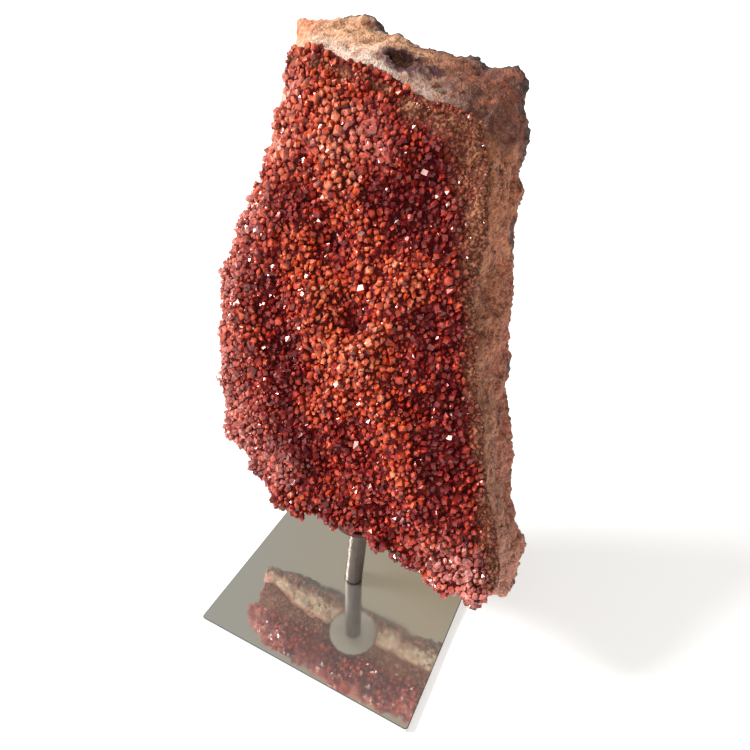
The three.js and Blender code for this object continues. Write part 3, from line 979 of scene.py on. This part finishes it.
def crystal(point, normal, size):
    """One crystal: (its corners from root to end, its seat, how deep it has sunk from 0 to 1,
    the height of its shoulder as a share of its own)."""
    outward = Vector(normal).normalized()
    lean_way = Vector((draw.gauss(0, 1), draw.gauss(0, 1), draw.gauss(0, 1)))
    axis = (outward + crystal_tilt * draw.random() * lean_way).normalized()
    if axis.dot(outward) < crystal_lean_limit:
        axis = (axis + outward).normalized()
    side = axis.orthogonal().normalized()
    side.rotate(Matrix.Rotation(draw.uniform(0, math.tau / 6), 3, axis))
    front = axis.cross(side)
    sunk = draw.random() ** 2
    seat = Vector(point) - outward * crystal_sink * sunk
    shoulder = size * draw.uniform(*prism_share)
    tip = shoulder + size * draw.uniform(*point_share)
    turns = [math.tau * k / 6 + draw.uniform(-turn_play, turn_play) for k in range(6)]
    front *= draw.uniform(*crystal_squash)
    reach = [size * draw.uniform(*reach_share) for _ in range(6)]
    ledge = size * draw.uniform(*ledge_share)
    steps = [shoulder + ledge * (-1) ** k + draw.uniform(-step_play, step_play) * size
             for k in range(6)]

    def ring(share, heights):
        """The six corners at one level, at a share of the crystal's reach."""
        return [
            seat + (side * math.cos(turn) + front * math.sin(turn)) * share * out + axis * height
            for turn, out, height in zip(turns, reach, heights)
        ]

    corners = ring(1, [-crystal_root] * 6) + ring(1, steps)
    if draw.random() < flat_ended:
        share = draw.uniform(*flat_end)
        slope = [draw.uniform(-flat_slope, flat_slope) * size for _ in range(2)]
        level = tip - share * (tip - shoulder)
        corners += ring(share, [level + slope[0] * math.cos(turn) + slope[1] * math.sin(turn)
                                for turn in turns])
    else:
        off = [size * draw.uniform(-tip_play, tip_play) for _ in range(2)]
        corners.append(seat + axis * tip + side * off[0] + front * off[1])
    return corners, seat, sunk, shoulder / tip


def crystal_faces(first, rings):
    """The faces of a crystal of that many rings: its sides, its point or flat end, its root."""
    around = [(k, (k + 1) % 6) for k in range(6)]
    last = first + 6 * (rings - 1)
    faces = [(low + a, low + b, low + b + 6, low + a + 6)
             for low in range(first, last, 6) for a, b in around]
    if rings == 2:
        faces += [(last + a, last + b, last + 6) for a, b in around]
    else:
        faces.append(tuple(range(last, last + 6)))
    faces.append(tuple(reversed(range(first, first + 6))))
    return faces


def grown(name, seats):
    """One mesh of crystals, with the values that their finish reads."""
    corners, faces = [], []
    values = {"tip": [], "tone": [], "warmth_and_light": [], "dust_and_sheen": [], "stunted": [], "facet": []}
    for point, normal, size in seats:
        shape, seat, sunk, shoulder = crystal(point, normal, size)
        count = len(shape)
        sides = crystal_faces(len(corners), count // 6)
        corners += shape
        faces += sides
        across, depth, up = (into_rock @ seat) / mm
        # Small crystals and sunk ones get a darker tone: painted shade, down in the gaps.
        lit = small_lit + (1 - small_lit) * eased(size / mm, *lit_sizes)
        lit *= 1 - sunk_shade * sunk
        values["tip"] += [0.0] * 6 + [shoulder] * 6 + [1.0] * (count - 12)
        values["tone"] += [draw.random() * lit] * count
        values["warmth_and_light"] += [warmth_and_light(across, up)] * count
        values["dust_and_sheen"] += [dust_and_sheen_at(across, up)] * count
        values["stunted"] += [stunting(across, depth, up)] * count
        values["facet"] += [draw.random() for _ in sides]
    mesh = bpy.data.meshes.new(name)
    mesh.from_pydata(corners, [], faces)
    for label, numbers in values.items():
        domain = "FACE" if label == "facet" else "POINT"
        mesh.attributes.new(label, "FLOAT", domain).data.foreach_set("value", numbers)
    return placed(name, mesh)


seats = scattered(bed, crystal_grades, surface_of(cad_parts["matrix"]))
large = [seat for seat in seats if seat[2] > fine_size * mm]
fine = [seat for seat in seats if seat[2] <= fine_size * mm]
crystals = grown("crystals", large)
fine_crystals = grown("fine_crystals", fine)

tree, shader, crystal_finish = new_finish("crystals")
here = use(tree, rock_place)["Place"]
tone, facet, stunted = (painted(tree, label) for label in ("tone", "facet", "stunted"))
cloud = use(tree, patches, Place=here, Scale=0.5, Detail=4.0, Cover=0.5, Softness=0.2)["Height"]
cluster = use(tree, patches, Place=here, Scale=0.13, Detail=3.0)["Height"]
dusted = use(tree, patches, Place=here, Scale=0.9, Detail=5.0, Cover=0.5, Softness=0.08)
# The warmth of the place brings painted light on the ridges and painted shade in the hollows.
shade = maths(tree, "ADD", spread(tree, tone, *tone_shade),
              spread(tree, painted(tree, "warmth_and_light"), *warmth_shade, start=-1.0))
for value, share in ((facet, facet_shade), (cloud, cloud_shade), (cluster, cluster_shade)):
    shade = maths(tree, "ADD", shade, spread(tree, value, *share))
# Pale dust, which along the left edge is partly painted sheen, pales the roots and lays a salmon
# film over the crystals.
dust_and_sheen = maths(tree, "MULTIPLY", painted(tree, "dust_and_sheen"), spread(tree, dusted["Mask"], *dust_and_sheen_patches))
# Each crystal darkens from its tip toward its root: painted shade in the gaps between crystals.
rooted = spread(tree, painted(tree, "tip"), *root_share, *root_span)
gritty = spread(tree, dusted["Height"], *rim_share, *rim_patches)
colour = mixed(tree, rooted, ramp(tree, shade, crystal_reds), mixed(tree, dust_and_sheen, root_shade_red, root_dust))
colour = tinted(tree, colour, dust_and_sheen, *dust_and_sheen_film)
colour = tinted(tree, colour, stunted, gritty, mixed(tree, tone, rim_dark, rim_tan))
feed(tree, shader, Base_Color=colour, Roughness=spread(tree, facet, *crystal_roughness),
     Normal=dented(tree, cloud, **crystal_dent), IOR=crystal_ior, Specular_Tint=crystal_sheen)
for piece in (crystals, fine_crystals):
    put_on(piece, crystal_finish)
    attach(piece, "root")


# Studio: a plain pale floor, a soft window of light from the upper left, and an even pale room
# that is darker to the right and on its far side, which is what the plate mirrors.
floor_half = 60
floor_white = (0.93, 0.93, 0.93, 1)
floor_glow = (1.0, 0.99, 0.97, 1)
floor_glow_strength = 0.45
window_way = Vector((0.76, 0.28, -0.58))
window_strength = 4.3
window_angle = math.radians(18)
room_left = (0.98, 0.99, 1.02, 1)
room_right = (0.24, 0.23, 0.22, 1)
room_across = (-0.9, 0.7)
far_left = (0.335, 0.405, 0.45, 1)
far_right = (0.425, 0.355, 0.255, 1)
far_across = (-0.5, 0.15)
far_reach = (0.55, 0.9)
right_side = Vector((0.894, 0.443, 0.059))
far_side = Vector((-0.326, 0.736, 0.593)).normalized()

floor_mesh = bpy.data.meshes.new("floor")
floor_mesh.from_pydata([
    (-floor_half, -floor_half, 0), (floor_half, -floor_half, 0),
    (floor_half, floor_half, 0), (-floor_half, floor_half, 0),
], [], [(0, 1, 2, 3)])
floor = placed("floor", floor_mesh)
tree, shader, paper = new_finish("paper")
feed(tree, shader, Base_Color=floor_white, Roughness=0.9, Emission_Color=floor_glow,
     Emission_Strength=floor_glow_strength)
put_on(floor, paper)

window = placed("window", bpy.data.lights.new("window", "SUN"))
window.data.energy = window_strength
window.data.angle = window_angle
window.rotation_euler = window_way.to_track_quat("-Z", "Y").to_euler()

world = bpy.data.worlds.new("room")
bpy.context.scene.world = world
world.use_nodes = True
tree = world.node_tree
way = add(tree, "ShaderNodeTexCoord").outputs["Generated"]
far, sideways = (
    add(tree, "ShaderNodeVectorMath", {0: way, 1: side}, operation="DOT_PRODUCT").outputs["Value"]
    for side in (far_side, right_side)
)
near_room = mixed(tree, rising(tree, sideways, *room_across), room_left, room_right)
far_room = mixed(tree, rising(tree, sideways, *far_across), far_left, far_right)
room = mixed(tree, rising(tree, far, *far_reach), near_room, far_room)
join(tree, tree.nodes["Background"].inputs["Color"], room)
bpy.context.scene.view_settings.view_transform = "Standard"
